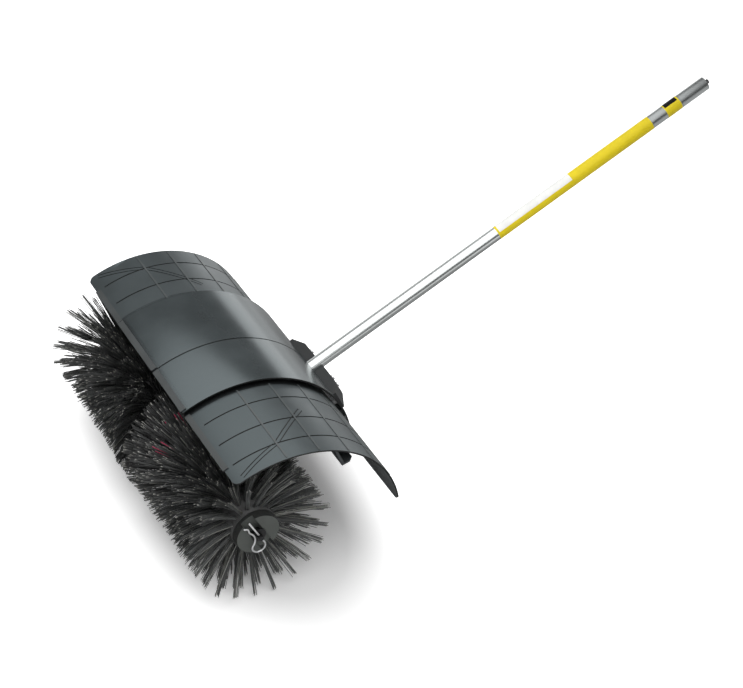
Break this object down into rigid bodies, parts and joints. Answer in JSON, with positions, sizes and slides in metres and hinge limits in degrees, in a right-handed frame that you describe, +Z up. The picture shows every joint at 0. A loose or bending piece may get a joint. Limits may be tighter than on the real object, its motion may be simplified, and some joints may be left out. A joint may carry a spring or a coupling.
{
  "type": "power brush sweeper",
  "caption": "Power brush sweeper attachment: an arched plastic hood over bristle drums either side of a worm gearbox, driven through a long aluminium tube with an inner shaft.",
  "frame": {"origin": "on the floor below the middle of the whole part's bounding box", "axes": "+Z up, +Y along the tube towards the power unit, +X towards the left drum as the operator sees it"},
  "size_m": [0.609, 1.1992, 0.5262],
  "materials": {
    "tube_aluminium": "satin",
    "film": "semi-gloss film",
    "bush_bronze": "machined",
    "cast_aluminium": "cast",
    "zinc_steel": "zinc plated",
    "bearing_steel": "ground",
    "seal_rubber": "matt",
    "hood_plastic": "satin moulded",
    "bracket_plastic": "matt moulded",
    "axle_steel": "machined",
    "drum_plastic": "matt moulded",
    "bristle": "matt filament",
    "clip_steel": "polished"
  },
  "bodies": {
    "frame": {"drive_tube": "tube_aluminium", "tube_bushes": "bush_bronze", "long_film": "film", "short_film": "film", "gearbox_housing": "cast_aluminium", "gearbox_cover": "cast_aluminium", "cover_screws_set": "zinc_steel", "end_cap": "cast_aluminium", "end_cap_screws": "zinc_steel", "clamp_screws": "zinc_steel", "filler_plug": "zinc_steel", "worm_bearing_front": "bearing_steel", "worm_bearing_rear": "bearing_steel", "worm_seal": "seal_rubber", "axle_bearing_left": "bearing_steel", "axle_bearing_right": "bearing_steel", "axle_seal_left": "seal_rubber", "axle_seal_right": "seal_rubber", "hood_panel": "hood_plastic", "hood_wing_left": "hood_plastic", "hood_wing_right": "hood_plastic", "hood_screws": "zinc_steel", "wing_rail_left": "hood_plastic", "wing_rail_right": "hood_plastic", "hood_bracket": "bracket_plastic", "hood_plate": "zinc_steel", "bracket_screws": "zinc_steel"},
    "brush": {"brush_axle": "axle_steel", "wheel_hub": "axle_steel", "wheel_rim": "bush_bronze", "wheel_key": "zinc_steel", "hub_circlips": "zinc_steel", "drum_core_left": "drum_plastic", "drum_core_right": "drum_plastic", "drum_cap_left": "drum_plastic", "drum_cap_right": "drum_plastic", "bristles_left": "bristle", "bristles_right": "bristle", "end_washers": "zinc_steel"},
    "clip_left": {"clip_left": "clip_steel"},
    "clip_right": {"clip_right": "clip_steel"},
    "drive": {"worm_shaft": "axle_steel", "worm": "axle_steel", "drive_shaft": "axle_steel"}
  },
  "joints": [
    {"name": "brush_spin", "type": "hinge", "parent": "frame", "child": "brush", "pos_m": [0, -0.46955, 0.13], "axis": [1, 0, 0], "continuous": true},
    {"name": "drive_spin", "type": "hinge", "parent": "frame", "child": "drive", "pos_m": [0, -0.44746, 0.07745], "axis": [0, 0.9219, 0.3875], "continuous": true},
    {"name": "clip_left_pull", "type": "slide", "parent": "brush", "child": "clip_left", "axis": [0, 0.4274, -0.9041], "range_m": [0, 0.058]},
    {"name": "clip_right_pull", "type": "slide", "parent": "brush", "child": "clip_right", "axis": [0, 0.4274, -0.9041], "range_m": [0, 0.058]}
  ],
  "couplings": [
    {"joint": "drive_spin", "follows": "brush_spin", "ratio": -34}
  ]
}
